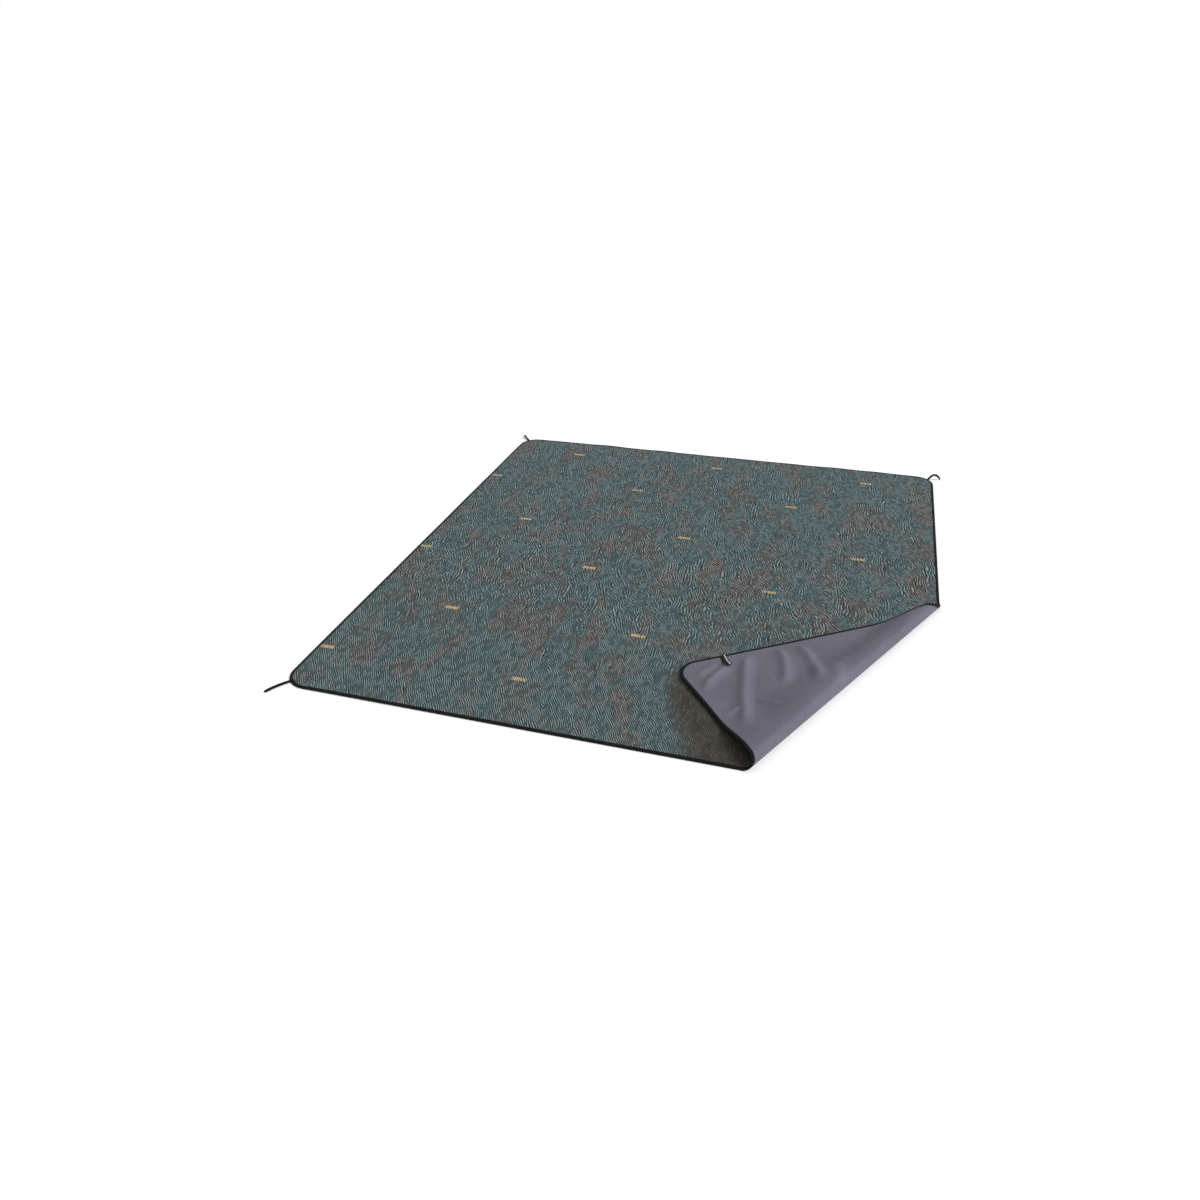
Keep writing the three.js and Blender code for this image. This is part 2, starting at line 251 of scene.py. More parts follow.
class Shader:
    """A material whose nodes are added one at a time. Inputs are values or other nodes' outputs."""

    def __init__(self, name, roughness):
        self.material = bpy.data.materials.new(name)
        self.material.use_nodes = True
        self.tree = self.material.node_tree
        self.surface = self.tree.nodes["Principled BSDF"]
        self.surface.inputs["Roughness"].default_value = roughness
        self.surface.inputs["Specular IOR Level"].default_value = 0.2

    def add(self, kind, inputs, output=0, **settings):
        made = self.tree.nodes.new("ShaderNode" + kind)
        for key, value in settings.items():
            setattr(made, key, value)
        for key, value in inputs.items():
            self.put(made.inputs[key], value)
        return made.outputs[output]

    def put(self, socket, value):
        if isinstance(value, bpy.types.NodeSocket):
            self.tree.links.new(value, socket)
        else:
            socket.default_value = value

    def sheet_place(self):
        """The point's place in the flat sheet, so that a pattern runs on across every seam and fold."""
        return self.add("Attribute", {}, output=1, attribute_name="flat")

    def attribute(self, name):
        return self.add("Attribute", {}, output=2, attribute_name=name)

    def stretched(self, vector, scale, turn=0.0):
        return self.add("Mapping", {"Vector": vector, "Rotation": (0, 0, turn), "Scale": scale})

    def noise(self, vector, scale, detail, distortion=0.0):
        inputs = {"Vector": vector, "Scale": scale, "Detail": detail, "Distortion": distortion}
        return self.add("TexNoise", inputs)

    def math(self, operation, first, second=0.0, third=0.0):
        return self.add("Math", {0: first, 1: second, 2: third}, operation=operation)

    def band(self, value, low, high, low_value=0.0, high_value=1.0):
        inputs = {0: value, 1: low, 2: high, 3: low_value, 4: high_value}
        return self.add("MapRange", inputs, interpolation_type="SMOOTHSTEP")

    def strokes(self, place, pitch, lean):
        """Rows of short bent strokes, `pitch` apart along x: 0 between them to 1 on them.
        lean is how far they go along -x for each step along y."""
        split = self.add("SeparateXYZ", {0: place}).node
        leaning = self.math("MULTIPLY_ADD", split.outputs[1], lean, split.outputs[0])
        bend = self.noise(self.stretched(place, (1.0, 0.6, 1.0)), 32.0, 2.0)
        turns = self.math("MULTIPLY_ADD", leaning, 1 / pitch, self.math("MULTIPLY", bend, 2.6))
        wave = self.math("SINE", self.math("MULTIPLY", turns, 2 * math.pi))
        breaks = self.noise(self.stretched(place, (1.0, 0.5, 1.0), lean), 85.0, 1.0)
        strength = self.band(breaks, 0.36, 0.58, 0.1, 1.0)
        return self.math("MULTIPLY_ADD", wave, self.math("MULTIPLY", strength, 0.5), 0.5)

    def mix(self, share, first, second, blend="MIX"):
        inputs = {0: share, 6: first, 7: second}
        return self.add("Mix", inputs, output=2, data_type="RGBA", blend_type=blend)

    def colour(self, value):
        self.put(self.surface.inputs["Base Color"], value)

    def bump(self, height, distance, strength):
        inputs = {"Height": height, "Distance": distance, "Strength": strength}
        self.put(self.surface.inputs["Normal"], self.add("Bump", inputs))

    def weave(self, vector, pitch):
        """Crossed threads: 0 between threads to 2 where they stand highest."""
        split = self.add("SeparateXYZ", {0: vector}).node
        waves = []
        for axis in (0, 1):
            turns = self.math("MULTIPLY", split.outputs[axis], 2 * math.pi / pitch)
            waves.append(self.math("ABSOLUTE", self.math("SINE", turns)))
        return self.math("ADD", waves[0], waves[1])


# Printed marks: plain bars in two lattices that are offset from each other.
MARK_LENGTH = 50 * MM
MARK_WIDTH = 16 * MM
MARK_PITCH_X = 685.8 * MM
MARK_PITCH_Y = 744.2 * MM
MARK_STARTS = ((-963.5 * MM, -877.2 * MM), (-664.8 * MM, -538.8 * MM))


def mark_mask(shader, place):
    """1 inside the printed bars."""
    split = shader.add("SeparateXYZ", {0: place}).node
    masks = []
    for start_x, start_y in MARK_STARTS:
        inside = []
        sides = ((start_x, MARK_PITCH_X, MARK_LENGTH), (start_y, MARK_PITCH_Y, MARK_WIDTH))
        for axis, (start, pitch, size) in enumerate(sides):
            moved = shader.math("ADD", split.outputs[axis], pitch * 4.5 - start)
            wrapped = shader.math("MODULO", moved, pitch)
            middle = shader.math("ABSOLUTE", shader.math("SUBTRACT", wrapped, pitch / 2))
            inside.append(shader.band(middle, size / 2 - 1 * MM, size / 2 + 1 * MM, 1.0, 0.0))
        masks.append(shader.math("MULTIPLY", inside[0], inside[1]))
    return shader.math("MAXIMUM", masks[0], masks[1])


def fleece_material():
    """Curled pile in mottled teal and brown-grey, with pale crests and dark pits that are partly the fibres'
    own tone and partly painted highlight and painted shade; a painted brown shadow lies beside the folded
    corner.
    """
    shader = Shader("fleece", 0.95)
    place = shader.sheet_place()
    pile = shader.attribute("pile")
    shade = shader.attribute("fold_shade")
    patches = shader.noise(shader.stretched(place, (1.0, 0.5, 1.0)), 9.0, 5.0, 0.5)
    speckle = shader.noise(shader.stretched(place, (1.0, 0.5, 1.0)), 60.0, 2.0)
    patches = shader.math("MULTIPLY_ADD", speckle, 0.4, shader.math("SUBTRACT", patches, 0.2))
    # The painted shadow beside the folded corner also turns the mottling brown.
    brown = shader.math("MAXIMUM", shader.band(patches, 0.4, 0.7), shade)
    dark = shader.mix(brown, linear(21, 33, 35), linear(31, 30, 29))
    middle = shader.mix(brown, linear(60, 75, 77), linear(73, 71, 69))
    crest = shader.mix(brown, linear(121, 141, 144), linear(138, 135, 133))
    upright = shader.strokes(place, 10 * MM, 0.45)
    leaning = shader.strokes(place, 13 * MM, 0.95)
    other = shader.strokes(place, 10 * MM, 0.05)
    fine = shader.strokes(place, 7.5 * MM, 0.6)
    areas = shader.noise(shader.stretched(place, (1.0, 0.6, 1.0)), 13.0, 2.0)
    strokes = shader.mix(shader.band(areas, 0.42, 0.5), leaning, upright)
    strokes = shader.mix(shader.band(areas, 0.54, 0.6), strokes, other)
    forward = shader.add("SeparateXYZ", {0: place}).node.outputs[1]
    uneven = shader.math("MULTIPLY_ADD", areas, 1.2, forward)
    strokes = shader.mix(shader.band(uneven, -0.15, 0.2), fine, strokes)
    clumps = shader.noise(shader.stretched(place, (1.0, 0.5, 1.0)), 75.0, 2.0)
    height = shader.math("MULTIPLY_ADD", strokes, 0.75, shader.math("MULTIPLY", pile, 0.1))
    height = shader.math("MULTIPLY_ADD", clumps, 0.45, shader.math("SUBTRACT", height, 0.105))
    # Inside the painted shadow beside the folded corner the pile is drawn flatter, in colour and bump, as it
    # looks in shade.
    contrast = shader.math("MULTIPLY_ADD", shade, -0.45, 1.0)
    height = shader.math("MULTIPLY_ADD", shader.math("SUBTRACT", height, 0.5), contrast, 0.5)
    # Colour by the pile's height: dark pits and pale crests, partly the fibres' own tone, partly painted
    # shade and painted highlight.
    colour = shader.mix(shader.band(height, 0.1, 0.5), dark, middle)
    colour = shader.mix(shader.band(height, 0.5, 0.9), colour, crest)
    mark = mark_mask(shader, place)
    worn = shader.math("MULTIPLY", mark, shader.band(height, 0.15, 0.55, 0.2, 0.95))
    colour = shader.mix(worn, colour, linear(174, 151, 113))
    # Painted shadow: the fleece beside the folded corner is darkened to brown.
    colour = shader.mix(shade, colour, linear(200, 194, 182), "MULTIPLY")
    shader.colour(colour)
    fibre = shader.noise(place, 700.0, 2.0)
    relief = shader.math("ADD", height, shader.math("MULTIPLY", fibre, 0.35))
    shader.bump(relief, 1.2 * MM, 1.0)
    return shader.material


def backing_material():
    """Coated cloth: a satin grey-violet face over a very fine weave."""
    shader = Shader("backing", 0.5)
    place = shader.sheet_place()
    cloudy = shader.noise(place, 3.5, 2.0, 0.4)
    colour = shader.mix(shader.band(cloudy, 0.3, 0.7), linear(95, 93, 106), linear(104, 102, 115))
    streaks = shader.noise(shader.stretched(place, (1.0, 6.0, 1.0), 0.5), 30.0, 4.0)
    scuffs = shader.band(streaks, 0.62, 0.75, 0.0, 0.25)
    colour = shader.mix(scuffs, colour, linear(116, 114, 126))
    # Painted shade and painted highlight on the creases: the hollows are darkened and the crests paled by
    # colour.
    crest = shader.attribute("crest")
    painted_hollow_shade = shader.band(crest, 0.0, 0.35, 1.0, 0.0)
    colour = shader.mix(painted_hollow_shade, colour, linear(244, 244, 246), "MULTIPLY")
    colour = shader.mix(shader.band(crest, 0.45, 1.0, 0.0, 0.15), colour, linear(122, 120, 132))
    shader.colour(colour)
    shader.put(shader.surface.inputs["Roughness"], shader.band(cloudy, 0.3, 0.7, 0.46, 0.58))
    crinkle = shader.noise(place, 55.0, 3.0, 0.5)
    height = shader.math("ADD", shader.math("MULTIPLY", crinkle, 2.2), shader.weave(place, 1.2 * MM))
    shader.bump(height, 0.12 * MM, 0.6)
    return shader.material


def padding_material():
    """Pale foam with a fine open cell."""
    shader = Shader("padding", 0.95)
    place = shader.sheet_place()
    cells = shader.noise(place, 700.0, 2.0)
    shader.colour(shader.mix(cells, linear(205, 202, 194), linear(228, 225, 218)))
    shader.bump(cells, 0.4 * MM, 0.7)
    return shader.material


def binding_material():
    """Black ribbed tape, a little paler in rubbed patches."""
    shader = Shader("binding", 0.8)
    place = shader.sheet_place()
    rub = shader.band(shader.noise(place, 60.0, 3.0), 0.45, 0.75, 0.0, 0.5)
    shader.colour(shader.mix(rub, linear(7, 7, 8), linear(22, 22, 25)))
    shader.bump(shader.weave(place, 0.9 * MM), 0.2 * MM, 0.8)
    return shader.material


def thread_material():
    """Twisted sewing thread, a little shinier than the tape it lies on."""
    shader = Shader("thread", 0.6)
    place = shader.sheet_place()
    twist = shader.noise(place, 2500.0, 1.0)
    shader.colour(shader.mix(twist, linear(12, 12, 14), linear(30, 30, 34)))
    shader.bump(twist, 0.1 * MM, 0.6)
    return shader.material


def cord_material():
    """Black braided elastic cord, flecked a little paler where the core shows."""
    shader = Shader("cord", 0.8)
    place = shader.add("TexCoord", {}, output=3)
    fleck = shader.band(shader.noise(place, 900.0, 2.0), 0.58, 0.7, 0.0, 0.5)
    shader.colour(shader.mix(fleck, linear(2, 2, 3), linear(16, 16, 18)))
    shader.bump(shader.noise(place, 1500.0, 2.0), 0.3 * MM, 0.6)
    return shader.material


def side_tape_material():
    """Black tape, with a pale streak where the mesh asks for it: a painted highlight along the top of one
    leg.
    """
    shader = Shader("side_tape", 0.6)
    place = shader.sheet_place()
    stripe = shader.attribute("stripe")
    colour = shader.mix(shader.band(stripe, 0.3, 0.6), linear(6, 6, 8), linear(205, 203, 212))
    shader.colour(colour)
    shader.bump(shader.weave(place, 0.8 * MM), 0.2 * MM, 0.8)
    return shader.material


# ---- Flat meshes ----

COARSE_CELL = 20 * MM
RIM_LINES = (0.0, 10 * MM, 20 * MM)


def cell_lines(low, high, every):
    """Grid lines from low to high, closer at both ends, with every cell parted into `every`."""
    count = max(1, round((high - low - 2 * RIM_LINES[-1]) / COARSE_CELL))
    inner = np.linspace(low + RIM_LINES[-1], high - RIM_LINES[-1], count + 1)
    ends = np.array(RIM_LINES[:-1])
    coarse = np.concatenate((low + ends, inner, high - ends[::-1]))
    steps = np.arange(len(coarse) * every - every + 1) / every
    return np.interp(steps, np.arange(len(coarse)), coarse)


def round_corners(x, y):
    """Bends the corner squares of a layer's rectangular grid into quarter discs."""
    radius = CORNER_RADIUS - LAYER_INSET
    base_x, base_y = HALF_WIDTH - CORNER_RADIUS, HALF_LENGTH - CORNER_RADIUS
    u = np.clip((np.abs(x) - base_x) / radius, 0, 1)
    v = np.clip((np.abs(y) - base_y) / radius, 0, 1)
    at_corner = (u > 0) & (v > 0)
    new_x = np.sign(x) * (base_x + radius * u * np.sqrt(1 - v * v / 2))
    new_y = np.sign(y) * (base_y + radius * v * np.sqrt(1 - u * u / 2))
    return np.where(at_corner, new_x, x), np.where(at_corner, new_y, y)


def level(height):
    """A face that has the same height everywhere."""
    return lambda x, y: np.full_like(x, height)


def flat_slab(name, low, high, every, fine_height, coarse_height):
    """A closed sheet over the rectangle low..high: one face has a fine grid and the other a coarse one.
    every says how many fine cells make a coarse one, along x and along y."""
    every_x, every_y = every
    fine_x = cell_lines(low[0], high[0], every_x)
    fine_y = cell_lines(low[1], high[1], every_y)
    columns, rows = len(fine_x), len(fine_y)

    def points(x_lines, y_lines, height):
        x, y = np.meshgrid(x_lines, y_lines, indexing="ij")
        x, y = round_corners(x.ravel(), y.ravel())
        return np.column_stack((x, y, height(x, y)))

    def quads(wide, deep, offset):
        index = np.arange(wide * deep).reshape(wide, deep) + offset
        corners = (index[:-1, :-1], index[1:, :-1], index[1:, 1:], index[:-1, 1:])
        return np.stack(corners, -1).reshape(-1, 4)

    fine = points(fine_x, fine_y, fine_height)
    coarse = points(fine_x[::every_x], fine_y[::every_y], coarse_height)
    wide, deep = len(fine_x[::every_x]), len(fine_y[::every_y])
    fine_index = np.arange(columns * rows).reshape(columns, rows)
    coarse_index = np.arange(wide * deep).reshape(wide, deep) + columns * rows
    faces = quads(columns, rows, 0).tolist() + quads(wide, deep, columns * rows)[:, ::-1].tolist()
    sides = (
        (every_x, fine_index[:, 0], coarse_index[:, 0]),
        (every_y, fine_index[-1, :], coarse_index[-1, :]),
        (every_x, fine_index[:, -1], coarse_index[:, -1]),
        (every_y, fine_index[0, :], coarse_index[0, :]),
    )
    for count, fine_side, coarse_side in sides:
        for step in range(len(coarse_side) - 1):
            run = fine_side[step * count:step * count + count + 1]
            faces.append(run.tolist() + [int(coarse_side[step + 1]), int(coarse_side[step])])
    mesh = bpy.data.meshes.new(name)
    mesh.from_pydata(np.concatenate((fine, coarse)).tolist(), [], faces)
    return mesh


def outline_stations(spacing, corner_spacing):
    """Points round the blanket's outline, with the inward direction at each."""
    places, inwards = [], []
    base_x, base_y = HALF_WIDTH - CORNER_RADIUS, HALF_LENGTH - CORNER_RADIUS
    for index, (side_x, side_y) in enumerate(((1, -1), (1, 1), (-1, 1), (-1, -1))):
        centre = np.array((side_x * base_x, side_y * base_y))
        arc_steps = round(CORNER_RADIUS * math.pi / 2 / corner_spacing)
        for step in range(arc_steps):
            angle = -math.pi / 2 + index * math.pi / 2 + step / arc_steps * math.pi / 2
            outward = np.array((math.cos(angle), math.sin(angle)))
            places.append(centre + CORNER_RADIUS * outward)
            inwards.append(-outward)
        angle = index * math.pi / 2
        outward = np.array((math.cos(angle), math.sin(angle)))
        forward = np.array((-outward[1], outward[0]))
        length = 2 * (base_y if index % 2 == 0 else base_x)
        run_steps = round(length / spacing)
        for step in range(run_steps):
            places.append(centre + CORNER_RADIUS * outward + forward * length * step / run_steps)
            inwards.append(-outward)
    return np.array(places), np.array(inwards)


def tape_profile():
    """The folded tape's closed section, as distances in from the edge and heights: outside, then inside."""
    middle = SHEET_TOP / 2
    nose = 3 * MM
    proud = SHEET_TOP + 0.1 * MM
    outer = [(TAPE_LIP, SHEET_TOP), (SEAM_INSET, SHEET_TOP - 0.35 * MM)]
    outer += [(6.5 * MM, proud), (4.5 * MM, proud)]
    for angle in np.radians((90, 65, 40, 15, -15, -40, -65, -90)):
        outer.append((nose * (1 - math.cos(angle)), middle + middle * math.sin(angle)))
    outer += [(6.5 * MM, 0.0), (SEAM_INSET, 0.25 * MM), (TAPE_LIP, 0.0)]
    inner = [(TAPE_LIP, TAPE)]
    for angle in np.radians((-90, -45, 0, 45, 90)):
        reach = TAPE + (nose - TAPE) * (1 - math.cos(angle))
        inner.append((reach, middle + (middle - TAPE) * math.sin(angle)))
    inner.append((TAPE_LIP, SHEET_TOP - TAPE))
    return np.array(outer + inner)


def flat_binding():
    """Tape folded round the whole edge, a little puckered between its stitches."""
    places, inwards = outline_stations(spacing=7 * MM, corner_spacing=4 * MM)
    profile = tape_profile()
    stations, ring = len(places), len(profile)
    pucker = 0.22 * MM * noise(places[:, 0] + places[:, 1] * 1.7, places[:, 1], 18 * MM, 21)
    wander = 1.0 * MM * noise(places[:, 0] - places[:, 1], places[:, 1] * 0.6, 0.11, 22)
    points = np.zeros((stations, ring, 3))
    lip = np.clip(profile[:, 0] / TAPE_LIP, 0, 1)
    reach = profile[None, :, 0] + (wander[:, None] * lip[None, :])
    points[:, :, :2] = places[:, None, :] + inwards[:, None, :] * reach[:, :, None]
    above = profile[:, 1] > SHEET_TOP / 2
    points[:, :, 2] = profile[None, :, 1] + np.where(above, 1, 0) * pucker[:, None] * lip[None, :]
    index = np.arange(stations * ring).reshape(stations, ring)
    ahead, around = np.roll(index, -1, 0), np.roll(index, -1, 1)
    corner = np.roll(ahead, -1, 1)
    faces = np.stack((index, around, corner, ahead), -1).reshape(-1, 4)
    mesh = bpy.data.meshes.new("flat_binding")
    mesh.from_pydata(points.reshape(-1, 3).tolist(), [], faces.tolist())
    return mesh


def stitch_points(start, end, width, up, arch):
    """One stitch from start to end: a thin pod that stands `arch` proud."""
    forward = end - start
    side = np.cross(up, forward)
    side = side / np.linalg.norm(side) * width / 2
    rows = [start]
    for share in (0.2, 0.8):
        centre = start + forward * share + up * arch
        rows += [centre + side, centre + up * width / 3, centre - side, centre - up * width / 3]
    rows.append(end)
    return rows


STITCH_FACES = (
    (0, 2, 1), (0, 3, 2), (0, 4, 3), (0, 1, 4),
    (1, 2, 6, 5), (2, 3, 7, 6), (3, 4, 8, 7), (4, 1, 5, 8),
    (9, 5, 6), (9, 6, 7), (9, 7, 8), (9, 8, 5),
)


def flat_stitches(in_part):
    """A row of lock stitches on each lip of the tape. in_part says which stitch middles belong."""
    pitch, length, width = 4.0 * MM, 3.1 * MM, 0.75 * MM
    places, inwards = outline_stations(pitch, pitch)
    after = np.roll(places, -1, 0)
    points, faces = [], []
    for height, up in ((SHEET_TOP - 0.3 * MM, 1.0), (0.15 * MM, -1.0)):
        for place, inward, following in zip(places, inwards, after):
            start = place + inward * SEAM_INSET
            forward = following - place
            forward = forward / np.linalg.norm(forward)
            start3 = np.array((*start, height))
            end3 = np.array((*(start + forward * length), height))
            if not in_part((start3 + end3) / 2):
                continue
            rise = 0.22 * MM if up > 0 else 0.05 * MM
            base = len(points)
            points += stitch_points(start3, end3, width, np.array((0, 0, up)), rise)
            faces += [[base + corner for corner in face] for face in STITCH_FACES]
    mesh = bpy.data.meshes.new("flat_stitches")
    mesh.from_pydata([tuple(point) for point in points], [], faces)
    return mesh


# ---- Cutting the flat meshes into parts ----

def line_plane(line):
    """A point on a line across the sheet, and the level direction square to it, towards the corner."""
    start = HINGE_START[:2] + ACROSS * line(0.0)
    end = HINGE_START[:2] + ALONG * FOLD_LENGTH + ACROSS * line(FOLD_LENGTH)
    direction = (end - start) / np.linalg.norm(end - start)
    return Vector((*start, 0)), Vector((direction[1], -direction[0], 0))


def cut_along(sheet, line, keep=None, close_to=None):
    """Cuts a sheet along a line. keep "near" or "far" drops the other side and closes the cut."""
    point, normal = line_plane(line)
    faces = sheet.faces[:]
    if close_to is not None:
        faces = [face for face in faces if abs((face.verts[0].co - point).dot(normal)) < close_to]
    edges = {edge for face in faces for edge in face.edges}
    verts = {vert for face in faces for vert in face.verts}
    geometry = list(verts) + list(edges) + faces
    bmesh.ops.bisect_plane(
        sheet, geom=geometry, dist=1e-7, plane_co=point, plane_no=normal,
        clear_inner=keep == "far", clear_outer=keep == "near",
    )
    if keep:
        open_edges = [edge for edge in sheet.edges if edge.is_boundary]
        bmesh.ops.holes_fill(sheet, edges=open_edges)


def cut_part(flat_mesh, part):
    """One part of a flat mesh, with extra lines round the roll so that it bends smoothly."""
    sheet = bmesh.new()
    sheet.from_mesh(flat_mesh)
    seam = roll_line(SEAM_ANGLE)
    if part == "main":
        cut_along(sheet, seam, keep="near")
        for step in range(1, round(SEAM_ANGLE / ROLL_STEP)):
            cut_along(sheet, roll_line(step * ROLL_STEP), close_to=40 * MM)
        cut_along(sheet, roll_line(0), close_to=40 * MM)
    elif part == "fold":
        cut_along(sheet, tip_line, keep="near")
        cut_along(sheet, seam, keep="far")
        for step in range(round(SEAM_ANGLE / ROLL_STEP) + 1, round(math.pi / ROLL_STEP) + 1):
            cut_along(sheet, roll_line(step * ROLL_STEP), close_to=90 * MM)
    else:
        cut_along(sheet, tip_line, keep="far")
    bmesh.ops.recalc_face_normals(sheet, faces=sheet.faces)
    made = bpy.data.meshes.new(f"{flat_mesh.name}_{part}")
    sheet.to_mesh(made)
    sheet.free()
    return made


def part_of(point):
    """Which part a single flat point belongs to."""
    along, across = (value[0] for value in fold_coordinates(np.array([point])))
    if across < roll_line(SEAM_ANGLE)(along):
        return "main"
    return "fold" if across < tip_line(along) else "tip"


# ---- Pieces ----


def coordinates(mesh):
    values = np.zeros(len(mesh.vertices) * 3)
    mesh.vertices.foreach_get("co", values)
    return values.reshape(-1, 3)


def set_coordinates(mesh, values):
    mesh.vertices.foreach_set("co", values.astype(np.float32).ravel())
    mesh.update()


def store(mesh, name, kind, values):
    attribute = mesh.attributes.new(name, kind, "POINT")
    key = "vector" if kind == "FLOAT_VECTOR" else "value"
    attribute.data.foreach_set(key, np.asarray(values, np.float32).ravel())


def new_object(name, mesh, material):
    mesh.materials.append(material)
    made = bpy.data.objects.new(name, mesh)
    bpy.context.scene.collection.objects.link(made)
    return made


def shade(mesh):
    """Smooth shading, but for edges sharper than 50 degrees."""
    mesh.polygons.foreach_set("use_smooth", np.ones(len(mesh.polygons), bool))
    mesh.set_sharp_from_angle(angle=math.radians(50))


# Soft creases in the folded corner, in millimetres: from x, y to x, y, half width, height and sideways bow.
CREASES = (
    (392, -560, 444, -940, 20, 18.0, 6),
    (474, -500, 524, -700, 19, 15.0, -20),
    (546, -465, 630, -665, 19, 15.0, -12),
    (350, -640, 284, -808, 16, 13.0, 5),
    (305, -640, 255, -730, 14, 8.0, -4),
    (450, -797, 528, -815, 8, 8.0, 3),
    (368, -900, 410, -856, 10, 8.0, 2),
    (672, -560, 702, -690, 26, 6.0, 10),
)


def wrinkles(plan):
    """How far the backing of the folded corner stands out in soft creases, by its place at rest."""
    x, y = plan[:, 0], plan[:, 1]
    bands = np.clip(noise(x + 0.25 * y, y * 0.3, 0.06, 41) + 0.1, 0, 1)
    fine = np.clip(noise(x + y * 0.8, y * 0.5 - x, 0.035, 43), 0, 1)
    height = MM * (3.0 * bands + 2.2 * fine)
    for start_x, start_y, end_x, end_y, half_width, tall, bow in CREASES:
        start = np.array((start_x, start_y)) * MM
        run = np.array((end_x, end_y)) * MM - start
        length = np.linalg.norm(run)
        run /= length
        ahead = (plan - start) @ run / length
        aside = (plan - start) @ np.array((run[1], -run[0])) - bow * MM * 4 * ahead * (1 - ahead)
        ends = smooth(ahead, -0.1, 0.25) * (1 - smooth(ahead, 0.75, 1.1))
        height += tall * MM * np.exp(-((aside / (half_width * MM)) ** 2)) * ends
    return height


def wrinkle_mask(flat):
    """1 in the open field of the folded corner, 0 at its edges and low on the roll."""
    field = smooth(edge_distance(flat[:, 0], flat[:, 1]), 12 * MM, 60 * MM)
    return field * smooth(roll_angle(flat), math.radians(60), math.radians(200))


def lay_down(flat):
    """Folds flat points and adds the unevenness of the sheet."""
    rest = fold_over(flat)
    rest[:, 2] += swell(rest[:, 0], rest[:, 1])
    return rest


def bend_between(piece, part, flat):
    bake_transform(piece)
    shares = turn_shares(part, flat).astype(np.float32)


def cloth_piece(name, mesh, part, material, nodes, shape=None):
    """Turns one part of a flat mesh into a finished, folded piece."""
    flat = coordinates(mesh)
    store(mesh, "flat", "FLOAT_VECTOR", flat)
    if shape:
        flat = shape(mesh, flat)
    set_coordinates(mesh, lay_down(flat))
    shade(mesh)
    piece = new_object(name, mesh, material)
    bend_between(piece, part, flat)
    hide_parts(*nodes)
    return piece


def nodes_of(base, part):
    """The CAD nodes that one part of a cloth layer stands for."""
    return {"main": [base], "fold": [f"{base}_fold", f"{base}_corner"], "tip": [f"{base}_tip"]}[part]


PART_SUFFIX = {"main": "", "fold": "_rolled", "tip": "_tip"}
# How many fine cells make a coarse one, along x and y, for the pile and for the creased backing.
PILE_PARTS = (5, 3)
CREASE_PARTS = (4, 4)
SHEET_LOW = (-HALF_WIDTH + LAYER_INSET, -HALF_LENGTH + LAYER_INSET)
SHEET_HIGH = (HALF_WIDTH - LAYER_INSET, HALF_LENGTH - LAYER_INSET)
CORNER_LOW = (HINGE_START[0] - 40 * MM, -HALF_LENGTH + LAYER_INSET)
CORNER_HIGH = (HALF_WIDTH - LAYER_INSET, HINGE_START[1] + FOLD_LENGTH * ALONG[1] + 80 * MM)


def pile_height(x, y):
    """The curled pile, 0 in the pits to 1 on the crests: short bent ridges that lean one way."""
    pitch = 13 * MM
    bend = 1.6 * noise(x, y * 0.7, 60 * MM, 11) + 0.5 * noise(x, y, 25 * MM, 12)
    turns = (x + 0.35 * y) / pitch + bend
    ridge = 0.5 + 0.5 * np.cos(2 * math.pi * turns)
    broken = 0.65 + 0.5 * noise(x, y * 0.5, 22 * MM, 13)
    return np.clip(ridge * broken, 0, 1)


def fleece_top(x, y):
    pile = FLEECE_GROUND - FLEECE_RIM_TOP + PILE_HEIGHT * pile_height(x, y)
    return FLEECE_RIM_TOP + pile * smooth(edge_distance(x, y), 9.5 * MM, 15 * MM)


def backing_bottom(x, y):
    """The backing's outer face: level with the ground, drawn in a little under the tape."""
    rim = 1 - smooth(edge_distance(x, y), 9.5 * MM, 13 * MM)
    return BACKING_BOTTOM + BACKING_RIM_BOTTOM * rim


def fold_shade(flat):
    """1 in the painted brown shadow beside the folded corner's front edge, fading to 0 away from it."""
    start = HINGE_START[:2]
    tip = fold_over(np.array([[HALF_WIDTH, -HALF_LENGTH, 0]]))[0, :2]
    run = (tip - start) / np.linalg.norm(tip - start)
    ahead = (flat[:, :2] - start) @ run
    aside = (flat[:, :2] - start) @ np.array((-run[1], run[0]))
    width = 210 * MM - 0.35 * np.clip(ahead, 0, 1)
    near = 1 - smooth(aside, 0.3 * width, 1.15 * width)
    return near * (1 - smooth(ahead, 0.35, 0.55)) * smooth(aside, -0.25, -0.1)


def store_pile(mesh, flat):
    """Keeps the pile's height and the painted brown shadow for its colour: the underside counts as pits."""
    heights = (flat[:, 2] - FLEECE_GROUND) / PILE_HEIGHT
    store(mesh, "pile", "FLOAT", np.clip(heights, 0, 1))
    store(mesh, "fold_shade", "FLOAT", fold_shade(flat))
    return flat


def crease(mesh, flat):
    """Pushes the backing's outer face, and what lies on it, outwards where the folded corner is creased."""
    stand = wrinkles(fold_over(flat)[:, :2]) * wrinkle_mask(flat) * (flat[:, 2] < BACKING_TOP / 2)
    # The crease height is kept for the backing's painted shade in the hollows and painted highlight on the
    # crests.
    store(mesh, "crest", "FLOAT", np.clip(stand / (12 * MM), 0, 1))
    flat = flat.copy()
    flat[:, 2] -= stand
    return flat


def make_layer(name, sheet, material, base, shape=None):
    """All parts of one cloth layer, cut from one flat sheet."""
    for part, suffix in PART_SUFFIX.items():
        cloth_piece(name + suffix, cut_part(sheet, part), part, material, nodes_of(base, part), shape)


